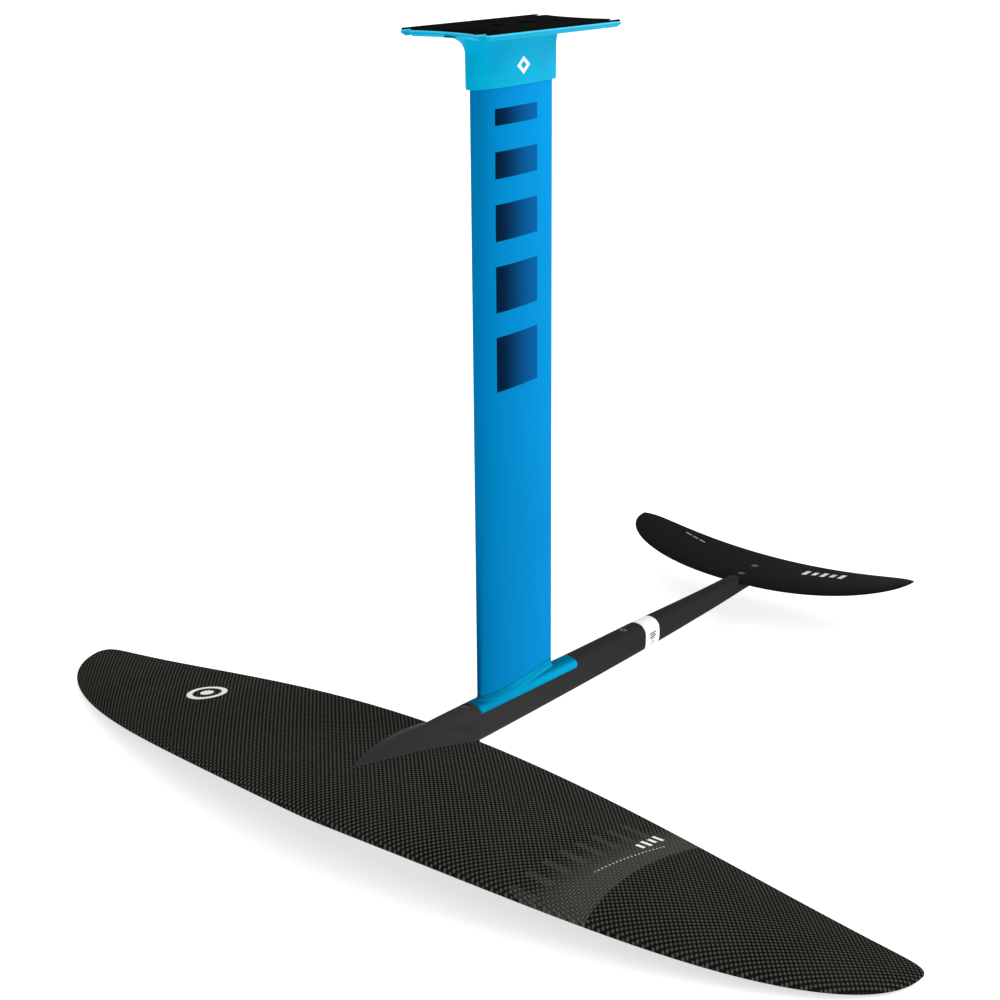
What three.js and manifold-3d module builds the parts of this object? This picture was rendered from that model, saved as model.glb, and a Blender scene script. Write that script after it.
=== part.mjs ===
// Hydrofoil for a wing or surf foil board: top plate, mast, fuselage, front wing, tail boom and stabiliser.
// Millimetres. Origin: on the top plate's board face, over the mast's mid-chord line.
// +X points forward, +Y to port, +Z up.
import * as THREE from "three";
import { mergeVertices } from "three/addons/utils/BufferGeometryUtils.js";
import Module from "manifold-3d";

const wasm = await Module();
wasm.setup();

// ---- Driving dimensions ----
const GAP = 0.3; // clearance between touching pieces
const MERGE_DISTANCE = 1e-4; // vertices closer than this are one
const PAST = 5; // how far a cutter runs past the face that it opens

const PLATE = {
  centre: -2.7, length: 204.6, width: 108, top: -1.5, rim: -4.4, bottom: -7.2,
  corner: 4, chamfer: 4, recess: 7.5, ear: 37.5,
};
const SLOT = { spacingX: 165, spacingY: 90, width: 8.6, innerReach: 7 };
const PAD = { thickness: 1.2, rim: 0.8, slotMargin: 0.6, holeRadius: 8 };
const COLLAR = { bottom: -56.5, wall: 4, flareTop: -6.4, flareBottom: -24, front: 30, rear: 6, side: 7 };

const MAST = { chord: 123, thickness: 16, top: -10, bottom: -679.7, skin: 2.2, trailingEdge: 1.8 };
const PORTS = { xs: [24, -20], radius: 3.3 }; // screw ports that run the mast's whole length
const CELLS = [[0.06, 0.225], [0.375, 0.59], [0.715, 0.86]]; // start and end of each hollow cell, in chords
const CELL_STEPS = 6; // straight lengths along one side of a cell

const SPAR_TOP = -683; // height of the spar's ridge under the front of the mast
const SEAT = { front: 72, rear: -95, frontDrop: 9.4, rearDrop: 15.9, corner: 5, height: 20, steps: 4 };
const TENON = { front: 62, rear: -78, halfWidth: 9, depth: 27 };
// How far the foot's lip stands out round the mast.
const LIP = { rise: 2, foot: 2.4, middle: 1.4, top: 0.3, rear: 0.8 };
const PRONG_LENGTH = 45; // the foot's prongs in the mast's hollow cells
const ROOT_DEPTH = 10; // how deep the lip and the tenon reach into the saddle

const WING = {
  semiSpan: 545.5, level: -704.7, noseX: 320.7, tailX: 102.7, tipX: 120,
  thickness: 0.125, camber: 0.03, droop: -91.7, tipLift: 36.5, stations: 22,
};
const WING_EDGE = 1.2; // thickness of the trailing edge
const BELLY = { rear: 101.1, front: 296.7, level: -705.4 };
const WING_SCREW_X = [114, 136, 158];

const JOINT_X = -239;
const SLEEVE = { front: -225, rear: -253, wall: 0.9 }; // lies flush round the joint
const NECK = SLEEVE.wall + GAP; // how far the fuselage and the boom are turned down under the sleeve
const SPIGOT = { front: -172, halfWidth: 8, top: -700, bottom: -717 };
const JOINT_SCREW_X = -198;

const STAB = {
  semiSpan: 201.5, level: -708, noseX: -431, tailX: -534, tipX: -529,
  thickness: 0.068, camber: 0, lift: 18, stations: 12,
};
const STAB_EDGE = 0.8;
const STAB_SEAT = { front: -448, top: -711.6 }; // the flat on the boom that the stabiliser is screwed to
const STAB_SCREW_X = [-455, -487];

// Spar, boom and belly sections: [x, half width, top, bottom], heights measured from SPAR_TOP.
const SPAR_SECTIONS = [
  [253, 0.8, -2.6, -12], [238, 3, -1.2, -14], [218, 6, -0.2, -16], [190, 9.2, 0.9, -18], [160, 12, 1.5, -31],
  [128, 14, 1.3, -39], [98, 14.9, 0.3, -40.4], [60, 15.2, -1, -41.4], [0, 15.2, -3, -42.4],
  [-60, 15, -5.4, -43.3], [-120, 14.8, -8, -43.9], [-180, 14.5, -10, -44.2],
  [SLEEVE.front + GAP, 14.2, -11.5, -44.2],
];
const SLEEVE_SECTIONS = [[SLEEVE.front, 14.2, -11.5, -44.2], [SLEEVE.rear, 14, -12.7, -44.1]];
const BOOM_SECTIONS = [
  [SLEEVE.rear - GAP, 14, -12.7, -44.1], [-290, 13.7, -14.7, -43.6], [-340, 13.3, -17.2, -42.7],
  [-385, 13, -19.1, -41.6], [-425, 12.7, -20.4, -40.1], [-440, 12.5, -21.3, -39.5], [-450, 12.4, -22.6, -39.2],
  [-490, 11.8, -25, -37.6], [-522, 9, -26, -35.8], [-530, 5, -26.6, -34.2],
];
const BELLY_SECTIONS = [
  [BELLY.rear, 14.6, -40.4], [130, 14.4, -40.2], [170, 13.4, -39.3], [210, 11.2, -37.8],
  [245, 8.2, -35.6], [275, 4.6, -32.5], [BELLY.front, 1.2, -28.7],
];
// The fairing that the fuselage spreads over the wing's root: [x, half width, ridge].
const FAIRING_SECTIONS = [
  [88, 15.6, -18], [96, 28, -15], [104, 37.5, -11], [120, 36, -6], [140, 32.5, -1.5], [165, 28, 1.7],
  [190, 22.5, 1.2], [215, 16.5, 0.2], [235, 10, -0.8], [247, 4.5, -1.3], [254, 1, -2.6],
];
const FAIRING = { base: -705.7, steps: 18, exponent: 1.3 };
const REACH = 40; // half width of a cutter that clears the spar on both sides
// The spar's section is two superellipses that meet at its widest line: an arched top and a squarer underside.
const SPAR_SHAPE = { topExponent: 2.3, bottomExponent: 4.5, widest: 0.45 };

// ---- Materials ----
const finish = (colour, roughness, metalness) => ({ color: colour, roughness, metalness });
const BLUE = finish(0x0a8fd2, 0.42, 0.35);
const CYAN = finish(0x1cabd8, 0.5, 0);
const CHARCOAL = finish(0x33373a, 0.55, 0.1);
const CARBON = finish(0x1e1e1d, 0.45, 0.1);
const BLACK = finish(0x121212, 0.85, 0);
const WHITE = finish(0xf0f0ee, 0.5, 0);
const STEEL = finish(0x9a9ca0, 0.35, 0.9);
const BRASS = finish(0xb08a45, 0.4, 0.9);

// ---- Solid helpers ----
function solidOf(geometry) {
  const plain = new THREE.BufferGeometry();
  plain.setAttribute("position", geometry.getAttribute("position"));
  if (geometry.index) plain.setIndex(geometry.index);
  const merged = mergeVertices(plain, MERGE_DISTANCE);
  const mesh = new wasm.Mesh({
    numProp: 3,
    vertProperties: merged.attributes.position.array,
    triVerts: new Uint32Array(merged.index.array),
  });
  return new wasm.Manifold(mesh);
}

function geometryOf(solid) {
  const mesh = solid.getMesh();
  const geometry = new THREE.BufferGeometry();
  geometry.setAttribute("position", new THREE.BufferAttribute(mesh.vertProperties, 3));
  geometry.setIndex(new THREE.BufferAttribute(mesh.triVerts, 1));
  return geometry;
}

const root = new THREE.Group();

function place(name, solid, look) {
  const flat = geometryOf(solid).toNonIndexed();
  flat.computeVertexNormals();
  const mesh = new THREE.Mesh(flat, new THREE.MeshStandardMaterial(look));
  mesh.name = name;
  root.add(mesh);
}

// Skins a row of rings, each with the same number of points, and closes both ends. Faces point outwards.
function loft(rings, flattenCap) {
  const count = rings[0].length;
  const points = rings.flat();
  const faces = [];
  for (let r = 0; r < rings.length - 1; r += 1) {
    for (let i = 0; i < count; i += 1) {
      const a = r * count + i;
      const b = r * count + ((i + 1) % count);
      faces.push([a, b, b + count], [a, b + count, a + count]);
    }
  }
  const lastRing = rings.length - 1;
  for (const r of [0, lastRing]) {
    const outline = rings[r].map(flattenCap);
    for (const corners of THREE.ShapeUtils.triangulateShape(outline, [])) {
      const turn = THREE.ShapeUtils.isClockWise(corners.map((i) => outline[i]));
      const inRingOrder = turn === THREE.ShapeUtils.isClockWise(outline);
      const outward = inRingOrder === (r === lastRing) ? corners : corners.slice().reverse();
      faces.push(outward.map((i) => r * count + i));
    }
  }
  const volume = faces.reduce((sum, [a, b, c]) => sum + points[a].dot(points[b].clone().cross(points[c])), 0);
  const index = faces.flatMap((face) => (volume < 0 ? face.slice().reverse() : face));
  const geometry = new THREE.BufferGeometry().setFromPoints(points);
  geometry.setIndex(index);
  return solidOf(geometry);
}

const alongX = (p) => new THREE.Vector2(p.y, p.z);
const alongY = (p) => new THREE.Vector2(p.x, p.z);
const alongZ = (p) => new THREE.Vector2(p.x, p.y);

function boxSolid(low, high) {
  const size = high.map((v, i) => v - low[i]);
  const box = new THREE.BoxGeometry(...size);
  box.translate(...high.map((v, i) => (v + low[i]) / 2));
  return solidOf(box);
}

// An upright cylinder from z = low to z = high.
function rod(x, y, low, high, radius, sides = 16) {
  const cylinder = new THREE.CylinderGeometry(radius, radius, high - low, sides);
  cylinder.rotateX(Math.PI / 2);
  cylinder.translate(x, y, (low + high) / 2);
  return solidOf(cylinder);
}

function extrude(shape, low, high) {
  const geometry = new THREE.ExtrudeGeometry(shape, { depth: high - low, bevelEnabled: false });
  geometry.translate(0, 0, low);
  return solidOf(geometry);
}

// A side profile in X and Z, swept across the spar's width.
function crossways(profile, halfWidth) {
  const shape = new THREE.Shape(profile.map(([x, z]) => new THREE.Vector2(x, z)));
  const geometry = new THREE.ExtrudeGeometry(shape, { depth: 2 * halfWidth, bevelEnabled: false });
  geometry.rotateX(Math.PI / 2);
  geometry.translate(0, halfWidth, 0);
  return solidOf(geometry);
}

// ---- Foil sections ----
const FOIL_STEPS = 12; // straight lengths along one side of a foil section

// Half thickness of a four-digit section of unit chord and unit thickness ratio, at x chords from the nose.
function halfThickness(x) {
  const curve = 0.2969 * Math.sqrt(x) - 0.126 * x - 0.3516 * x ** 2 + 0.2843 * x ** 3 - 0.1036 * x ** 4;
  return 5 * curve;
}

// Points from the trailing edge over the top to the nose and back underneath: [x, height], in chords.
function foilOutline(thickness, camber, steps, edge) {
  const side = (sign) => (_, i) => {
    const x = 0.5 * (1 - Math.cos((Math.PI * i) / steps));
    const mean = 4 * camber * x * (1 - x);
    return [x, mean + sign * (thickness * halfThickness(x) + (edge / 2) * x)];
  };
  const top = Array.from({ length: steps + 1 }, side(1)).reverse();
  const bottom = Array.from({ length: steps + 1 }, side(-1)).slice(1);
  return [...top, ...bottom];
}

const MAST_OUTLINE = foilOutline(MAST.thickness / MAST.chord, 0, FOIL_STEPS, MAST.trailingEdge / MAST.chord)
  .map(([x, y]) => new THREE.Vector2(MAST.chord * (0.5 - x), MAST.chord * y));

// Pushes the mast's outline outwards: to the sides, past the nose and past the trailing edge.
function mastOutlinePushed(side, front = side, rear = side) {
  const count = MAST_OUTLINE.length;
  return MAST_OUTLINE.map((point, i) => {
    const before = MAST_OUTLINE[(i + count - 1) % count];
    const after = MAST_OUTLINE[(i + 1) % count];
    const along = after.clone().sub(before).normalize();
    const outward = new THREE.Vector2(along.y, -along.x);
    if (outward.y * point.y < 0) outward.negate();
    if (i === 0 || i === count - 1) outward.set(-Math.SQRT1_2, Math.SQRT1_2 * Math.sign(point.y));
    if (Math.abs(point.x - MAST.chord / 2) < MERGE_DISTANCE) outward.set(1, 0);
    const reach = outward.x > 0 ? front : rear;
    return new THREE.Vector2(point.x + outward.x * reach, point.y + outward.y * side);
  });
}

const ringAt = (outline, z) => outline.map((p) => new THREE.Vector3(p.x, p.y, z));

// ---- Fasteners ----
const HEAD = { ratio: 1.9, rim: 0.5, socketRatio: 0.72, tip: 1 };

// A lathed solid round the Z axis from [radius, z] pairs that start and end on the axis.
function lathed(profile) {
  const points = profile.map(([r, z]) => new THREE.Vector2(r, z));
  const geometry = new THREE.LatheGeometry(points, 16);
  geometry.rotateX(Math.PI / 2);
  return solidOf(geometry);
}

const turned = (solid, pointsUp) => (pointsUp ? solid : solid.rotate([180, 0, 0]));

// A countersunk socket screw along Z, with its head's face at headZ and its tip above or below it.
function countersunk(x, y, { headZ, length, radius }, pointsUp) {
  const head = radius * HEAD.ratio;
  const body = lathed([
    [0, 0], [head, 0], [head, HEAD.rim], [radius, HEAD.rim + head - radius], [radius, length - HEAD.tip],
    [radius - HEAD.tip, length], [0, length],
  ]);
  const socket = rod(0, 0, -radius, radius, radius * HEAD.socketRatio, 6);
  return turned(body.subtract(socket), pointsUp).translate([x, y, headZ]);
}

// The hole that a countersunk screw sits in, open past its head.
function countersunkHole(x, y, { headZ, length, radius }, pointsUp) {
  const head = radius * HEAD.ratio + GAP;
  const bore = radius + GAP;
  const rim = HEAD.rim + GAP;
  const hole = lathed([
    [0, -PAST], [head, -PAST], [head, rim], [bore, rim + head - bore], [bore, length + 1], [0, length + 1],
  ]);
  return turned(hole, pointsUp).translate([x, y, headZ]);
}

const INSERT_WALL = 1.6;

// A threaded insert: a tube whose bore clears its screw.
function insert(x, y, low, high, radius) {
  return rod(x, y, low, high, radius + INSERT_WALL).subtract(rod(x, y, low - 1, high + 1, radius + GAP));
}

const insertPocket = (x, y, low, high, radius) => rod(x, y, low - GAP, high + GAP, radius + INSERT_WALL + GAP);

// ---- Top plate and head ----
// The plate's outline, drawn in by inset. Its short edges curve in between raised corner ears.
function plateOutline(inset) {
  const halfLength = PLATE.length / 2 - inset;
  const halfWidth = PLATE.width / 2 - inset;
  const corner = Math.max(PLATE.corner - inset, GAP);
  const edgeSteps = 6;
  const cornerSteps = 4;
  const quarter = [];
  for (let i = 0; i <= edgeSteps; i += 1) {
    const along = i / edgeSteps;
    quarter.push([halfLength - PLATE.recess * (1 - along ** 3), PLATE.ear * along]);
  }
  for (let i = 0; i <= cornerSteps; i += 1) {
    const turn = (Math.PI / 2) * (i / cornerSteps);
    quarter.push([halfLength - corner * (1 - Math.cos(turn)), halfWidth - corner * (1 - Math.sin(turn))]);
  }
  const back = quarter.slice().reverse();
  const mirrored = (points, signX, signY) => (
    points.map(([x, y]) => new THREE.Vector2(PLATE.centre + signX * x, signY * y))
  );
  return [
    ...mirrored(quarter, 1, 1), ...mirrored(back, -1, 1), ...mirrored(quarter.slice(1), -1, -1),
    ...mirrored(back.slice(0, -1), 1, -1),
  ];
}

// The four bolt slots, open at the plate's short ends.
function slots(margin) {
  const low = PLATE.bottom - 2 * PAST;
  const halfSlot = SLOT.width / 2 + margin;
  const pieces = [];
  for (const sx of [-1, 1]) {
    for (const sy of [-1, 1]) {
      const inner = PLATE.centre + sx * (SLOT.spacingX / 2 - SLOT.innerReach + SLOT.width / 2);
      const y = (sy * SLOT.spacingY) / 2;
      const end = sx * PLATE.length;
      const channel = boxSolid(
        [Math.min(inner, end), y - halfSlot, low], [Math.max(inner, end), y + halfSlot, PAST],
      );
      pieces.push(channel.add(rod(inner, y, low, PAST, halfSlot)));
    }
  }
  return pieces.reduce((all, piece) => all.add(piece));
}

const HEAD_SCREW = { radius: 3, length: 53, headZ: -2 };

function mastHead() {
  const plate = loft([
    ringAt(plateOutline(PLATE.chamfer), PLATE.bottom), ringAt(plateOutline(0), PLATE.rim),
    ringAt(plateOutline(0), PLATE.top),
  ], alongZ);
  const rings = [COLLAR.bottom, COLLAR.flareBottom].map((z) => ringAt(mastOutlinePushed(COLLAR.wall), z));
  const flareSteps = 5;
  for (let i = 1; i <= flareSteps; i += 1) {
    const turn = ((i / flareSteps) * Math.PI) / 2;
    const out = 1 - Math.cos(turn);
    const z = COLLAR.flareBottom + (COLLAR.flareTop - COLLAR.flareBottom) * Math.sin(turn);
    const sideways = COLLAR.wall + COLLAR.side * out;
    const front = COLLAR.wall + COLLAR.front * out;
    const rear = COLLAR.wall + COLLAR.rear * out;
    rings.push(ringAt(mastOutlinePushed(sideways, front, rear), z));
  }
  const socket = loft([
    ringAt(mastOutlinePushed(GAP), COLLAR.bottom - PAST), ringAt(mastOutlinePushed(GAP), MAST.top + GAP),
  ], alongZ);
  let head = plate.add(loft(rings, alongZ)).subtract(socket).subtract(slots(0));
  for (const x of PORTS.xs) {
    head = head.subtract(countersunkHole(x, 0, HEAD_SCREW, false));
  }
  return head;
}

// The grip pad that covers the plate, with a hole over each head screw.
function platePad() {
  const outline = new THREE.Shape(plateOutline(PAD.rim));
  const pad = extrude(outline, -PAD.thickness, 0).subtract(slots(PAD.slotMargin));
  const holes = PORTS.xs.map((x) => rod(x, 0, -PAD.thickness - 1, 1, PAD.holeRadius));
  return holes.reduce((body, hole) => body.subtract(hole), pad);
}

// ---- Mast ----
function cellOutline([start, end], shrink) {
  const inset = shrink / MAST.chord;
  const length = end - start - 2 * inset;
  const xs = Array.from({ length: CELL_STEPS + 1 }, (_, i) => start + inset + (length * i) / CELL_STEPS);
  const at = (x, sign) => {
    const height = MAST.thickness * halfThickness(x) - MAST.skin - shrink;
    return new THREE.Vector2(MAST.chord * (0.5 - x), sign * height);
  };
  return [...xs.map((x) => at(x, 1)), ...xs.reverse().map((x) => at(x, -1))];
}

function mast() {
  const section = new THREE.Shape(MAST_OUTLINE);
  for (const cell of CELLS) section.holes.push(new THREE.Path(cellOutline(cell, 0)));
  for (const x of PORTS.xs) {
    section.holes.push(new THREE.Path().absarc(x, 0, PORTS.radius, 0, 2 * Math.PI));
  }
  return extrude(section, MAST.bottom, MAST.top);
}

// ---- Spar: the outer shape that the mast foot and the fuselage share ----
function sparRing(x, halfWidth, top, bottom, grow = 0, points = 28) {
  const widest = top + SPAR_SHAPE.widest * (bottom - top);
  return Array.from({ length: points }, (_, i) => {
    const angle = (2 * Math.PI * i) / points;
    const upper = Math.sin(angle) >= 0;
    const power = 2 / (upper ? SPAR_SHAPE.topExponent : SPAR_SHAPE.bottomExponent);
    const across = Math.sign(Math.cos(angle)) * Math.abs(Math.cos(angle)) ** power;
    const up = Math.abs(Math.sin(angle)) ** power;
    const height = upper ? (top - widest + grow) * up : (bottom - widest - grow) * up;
    return new THREE.Vector3(x, (halfWidth + grow) * across, SPAR_TOP + widest + height);
  });
}

// The turned-down length between two places under the sleeve, reaching a little into the full section.
function neck(front, rear) {
  const [, halfWidth, top, bottom] = SLEEVE_SECTIONS[1];
  return loft([front, rear].map((x) => sparRing(x, halfWidth, top, bottom, -NECK)), alongX);
}

const sparLoft = (sections) => loft(sections.map((section) => sparRing(...section)), alongX);

// Side profile of the room for the saddle, with a rounded lower corner at the rear.
function seatProfile(grow) {
  const front = SEAT.front + grow;
  const rear = SEAT.rear - grow;
  const low = SPAR_TOP - SEAT.rearDrop - grow;
  const corner = SEAT.corner + grow;
  const high = SPAR_TOP + SEAT.height;
  const profile = [[front, SPAR_TOP - SEAT.frontDrop - grow], [front, high], [rear, high]];
  for (let i = 0; i <= SEAT.steps; i += 1) {
    const turn = (Math.PI / 2) * (i / SEAT.steps);
    profile.push([rear + corner * (1 - Math.cos(turn)), low + corner * (1 - Math.sin(turn))]);
  }
  return profile;
}

function tenon(grow) {
  const halfWidth = TENON.halfWidth + grow;
  return boxSolid(
    [TENON.rear - grow, -halfWidth, SPAR_TOP - TENON.depth - grow],
    [TENON.front + grow, halfWidth, SPAR_TOP - ROOT_DEPTH],
  );
}

const FOOT_SCREW = { radius: 3, length: 74, headZ: SPAR_TOP - TENON.depth + 0.6 };
const MAST_BOLT_XS = [45, -55];
const MAST_BOLT = { radius: 4, length: 29, headZ: SPAR_TOP - 41.5 };
const LOCK_SCREW_X = 82;
const LOCK_SCREW = { headZ: SPAR_TOP - 1.8, radius: 2.5, length: 15 };

function mastFoot() {
  const saddle = sparLoft(SPAR_SECTIONS).intersect(crossways(seatProfile(0), REACH));
  const lipTop = MAST.bottom - GAP;
  const lip = loft([
    ringAt(mastOutlinePushed(LIP.foot, LIP.foot, LIP.rear), SPAR_TOP - ROOT_DEPTH),
    ringAt(mastOutlinePushed(LIP.middle, LIP.middle, LIP.rear), lipTop - LIP.rise),
    ringAt(mastOutlinePushed(LIP.top), lipTop),
  ], alongZ);
  let foot = saddle.add(lip).add(tenon(0));
  for (const cell of CELLS) {
    const prong = new THREE.Shape(cellOutline(cell, GAP));
    foot = foot.add(extrude(prong, SPAR_TOP - ROOT_DEPTH / 2, MAST.bottom + PRONG_LENGTH));
  }
  for (const x of PORTS.xs) {
    foot = foot.subtract(countersunkHole(x, 0, FOOT_SCREW, true));
  }
  const boltTip = MAST_BOLT.headZ + MAST_BOLT.length;
  for (const x of MAST_BOLT_XS) {
    foot = foot.subtract(rod(x, 0, SPAR_TOP - TENON.depth - PAST, boltTip + 1, MAST_BOLT.radius + GAP));
  }
  return foot;
}

// ---- Wings ----
// Superelliptic leading edge, nearly straight trailing edge, both meeting at a rounded, slightly raked tip.
function frontWingStation(u) {
  const nose = WING.tipX + (WING.noseX - WING.tipX) * (1 - u ** 1.5) ** 0.48;
  const tail = WING.tailX + 5 * u ** 4 + (WING.tipX - WING.tailX - 5) * (1 - (1 - u ** 60) ** 0.5);
  const rise = WING.droop * u ** 2 + WING.tipLift * u ** 4;
  return { nose, tail, z: WING.level + rise };
}

function stabiliserStation(u) {
  const nose = STAB.tipX + (STAB.noseX - STAB.tipX) * (1 - u ** 2.5) ** 0.49;
  const tail = STAB.tailX - 6 * u ** 2 + (STAB.tipX - STAB.tailX + 6) * u ** 16;
  return { nose, tail, z: STAB.level + STAB.lift * u ** 2 };
}

function wingSolid(wing, station, edge, grow) {
  const rings = [];
  for (let i = -wing.stations; i <= wing.stations; i += 1) {
    const along = Math.sin((Math.PI / 2) * (i / wing.stations) * 0.965);
    const { nose, tail, z } = station(Math.abs(along));
    const chord = nose - tail + 2 * grow;
    const outline = foilOutline(wing.thickness, wing.camber, FOIL_STEPS, edge / chord);
    rings.push(outline.map(([x, height]) => {
      const lifted = chord * height + grow * Math.sign(height - 4 * wing.camber * x * (1 - x));
      return new THREE.Vector3(nose + grow - chord * x, wing.semiSpan * along, z + lifted);
    }));
  }
  return loft(rings, alongY);
}

function bellySolid() {
  const rings = BELLY_SECTIONS.map(([x, halfWidth, bottom]) => {
    const depth = BELLY.level - (SPAR_TOP + bottom);
    const power = 2 / SPAR_SHAPE.bottomExponent;
    const points = 14;
    return Array.from({ length: points + 1 }, (_, i) => {
      const angle = (Math.PI * i) / points;
      const across = Math.sign(Math.cos(angle)) * Math.abs(Math.cos(angle)) ** power;
      return new THREE.Vector3(x, halfWidth * across, BELLY.level - depth * Math.sin(angle) ** power);
    });
  });
  return loft(rings, alongX);
}

// The length is that of the hole; each screw is cut to fit.
const WING_SCREW = { radius: 3, headZ: SPAR_TOP - 38.8, length: 42 };
const WING_INSERT = { above: 1.4, length: 5.5, reliefRadius: 5, reliefDepth: 10 };

// Height of the front wing's upper surface at x, y.
function wingTop(x, y) {
  const { nose, tail, z } = frontWingStation(Math.abs(y) / WING.semiSpan);
  const along = Math.min(Math.max((nose - x) / (nose - tail), 0), 1);
  const mean = 4 * WING.camber * along * (1 - along);
  return z + (nose - tail) * (mean + WING.thickness * halfThickness(along)) + (WING_EDGE / 2) * along;
}

// Each insert sits just above the wing's top, which rises forwards.
function wingInsertSpan(x) {
  const low = wingTop(x, 0) + WING_INSERT.above;
  return [low, low + WING_INSERT.length];
}

function frontWing() {
  let wing = wingSolid(WING, frontWingStation, WING_EDGE, 0).add(bellySolid());
  for (const x of WING_SCREW_X) {
    wing = wing.subtract(countersunkHole(x, 0, WING_SCREW, true));
  }
  return wing;
}

// A low hump that runs out over the wing's upper surface on both sides of the spar.
function rootFairing() {
  const rings = FAIRING_SECTIONS.map(([x, halfWidth, ridge]) => {
    const foot = wingTop(x, halfWidth) - GAP;
    const ring = Array.from({ length: FAIRING.steps + 1 }, (_, i) => {
      const share = (2 * i) / FAIRING.steps - 1;
      const hump = (1 - share ** 2) ** FAIRING.exponent;
      return new THREE.Vector3(x, halfWidth * share, foot + (SPAR_TOP + ridge - foot) * hump);
    });
    ring.push(new THREE.Vector3(x, halfWidth, FAIRING.base), new THREE.Vector3(x, -halfWidth, FAIRING.base));
    return ring;
  });
  return loft(rings, alongX);
}

function fuselage() {
  let body = sparLoft(SPAR_SECTIONS)
    .add(neck(SLEEVE.front + 2, JOINT_X))
    .add(rootFairing())
    .subtract(wingSolid(WING, frontWingStation, WING_EDGE, GAP))
    .subtract(boxSolid([BELLY.rear - GAP, -REACH, SPAR_TOP - 60], [WING.noseX, REACH, BELLY.level]))
    .subtract(crossways(seatProfile(GAP), REACH))
    .subtract(tenon(GAP))
    .subtract(boxSolid(
      [JOINT_X - PAST, -SPIGOT.halfWidth - GAP, SPIGOT.bottom - GAP],
      [SPIGOT.front + GAP, SPIGOT.halfWidth + GAP, SPIGOT.top + GAP],
    ))
    .subtract(countersunkHole(JOINT_SCREW_X, 0, { ...JOINT_SCREW, length: 12 }, false))
    .subtract(countersunkHole(LOCK_SCREW_X, 0, LOCK_SCREW, false));
  for (const x of MAST_BOLT_XS) {
    body = body.subtract(countersunkHole(x, 0, MAST_BOLT, true));
  }
  for (const x of WING_SCREW_X) {
    const [low, high] = wingInsertSpan(x);
    const relief = rod(x, 0, low - WING_INSERT.reliefDepth, low, WING_INSERT.reliefRadius);
    body = body.subtract(insertPocket(x, 0, low, high, WING_SCREW.radius)).subtract(relief);
  }
  return body;
}

// ---- Tail ----
const JOINT_SCREW = { radius: 2.5, length: 19.2, headZ: SPAR_TOP - 11.3 };
const JOINT_INSERT = { low: SPAR_TOP - 31, high: SPAR_TOP - 20 };
const STAB_SCREW = { radius: 2.5, length: 10.5, headZ: SPAR_TOP - 22.2 };
const STAB_INSERT = { low: SPAR_TOP - 33, high: SPAR_TOP - 29.5 };

function tailBoom() {
  let boom = sparLoft(BOOM_SECTIONS)
    .subtract(wingSolid(STAB, stabiliserStation, STAB_EDGE, GAP))
    .subtract(boxSolid([STAB.tailX - REACH, -REACH, STAB_SEAT.top], [STAB_SEAT.front, REACH, SPAR_TOP]))
    .add(neck(JOINT_X - GAP, SLEEVE.rear - 2))
    .add(boxSolid(
      [JOINT_X - 12, -SPIGOT.halfWidth, SPIGOT.bottom], [SPIGOT.front, SPIGOT.halfWidth, SPIGOT.top],
    ));
  boom = boom.subtract(insertPocket(JOINT_SCREW_X, 0, JOINT_INSERT.low, JOINT_INSERT.high, JOINT_SCREW.radius))
    .subtract(rod(JOINT_SCREW_X, 0, JOINT_INSERT.high, SPIGOT.top + 2, JOINT_SCREW.radius + GAP));
  const insertRadius = STAB_SCREW.radius + INSERT_WALL;
  for (const x of STAB_SCREW_X) {
    boom = boom.subtract(rod(x, 0, STAB_INSERT.low - GAP, STAB_SEAT.top + 1, insertRadius + GAP));
  }
  return boom;
}

function jointSleeve() {
  const outer = sparLoft(SLEEVE_SECTIONS);
  const [, halfWidth, top, bottom] = SLEEVE_SECTIONS[1];
  const ends = [SLEEVE.front + PAST, SLEEVE.rear - PAST];
  return outer.subtract(loft(ends.map((x) => sparRing(x, halfWidth, top, bottom, -SLEEVE.wall)), alongX));
}

function stabiliser() {
  let wing = wingSolid(STAB, stabiliserStation, STAB_EDGE, 0);
  for (const x of STAB_SCREW_X) {
    wing = wing.subtract(countersunkHole(x, 0, STAB_SCREW, false));
  }
  return wing;
}

// ---- Assembly ----
place("mast_head", mastHead(), CYAN);
place("plate_pad", platePad(), BLACK);
PORTS.xs.forEach((x, i) => {
  place(`head_screw_${i + 1}`, countersunk(x, 0, HEAD_SCREW, false), STEEL);
  place(`foot_screw_${i + 1}`, countersunk(x, 0, FOOT_SCREW, true), STEEL);
});
place("mast", mast(), BLUE);
place("mast_foot", mastFoot(), BLUE);
MAST_BOLT_XS.forEach((x, i) => place(`mast_bolt_${i + 1}`, countersunk(x, 0, MAST_BOLT, true), STEEL));
place("fuselage", fuselage(), CHARCOAL);
place("foot_lock_screw", countersunk(LOCK_SCREW_X, 0, LOCK_SCREW, false), STEEL);
place("front_wing", frontWing(), CARBON);
WING_SCREW_X.forEach((x, i) => {
  const [low, high] = wingInsertSpan(x);
  const screw = { ...WING_SCREW, length: high - WING_SCREW.headZ };
  place(`wing_screw_${i + 1}`, countersunk(x, 0, screw, true), STEEL);
  place(`wing_insert_${i + 1}`, insert(x, 0, low, high, WING_SCREW.radius), BRASS);
});
place("tail_boom", tailBoom(), CHARCOAL);
place("joint_screw", countersunk(JOINT_SCREW_X, 0, JOINT_SCREW, false), STEEL);
place("joint_insert", insert(JOINT_SCREW_X, 0, JOINT_INSERT.low, JOINT_INSERT.high, JOINT_SCREW.radius), BRASS);
place("joint_sleeve", jointSleeve(), WHITE);
place("stabiliser", stabiliser(), CARBON);
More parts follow.
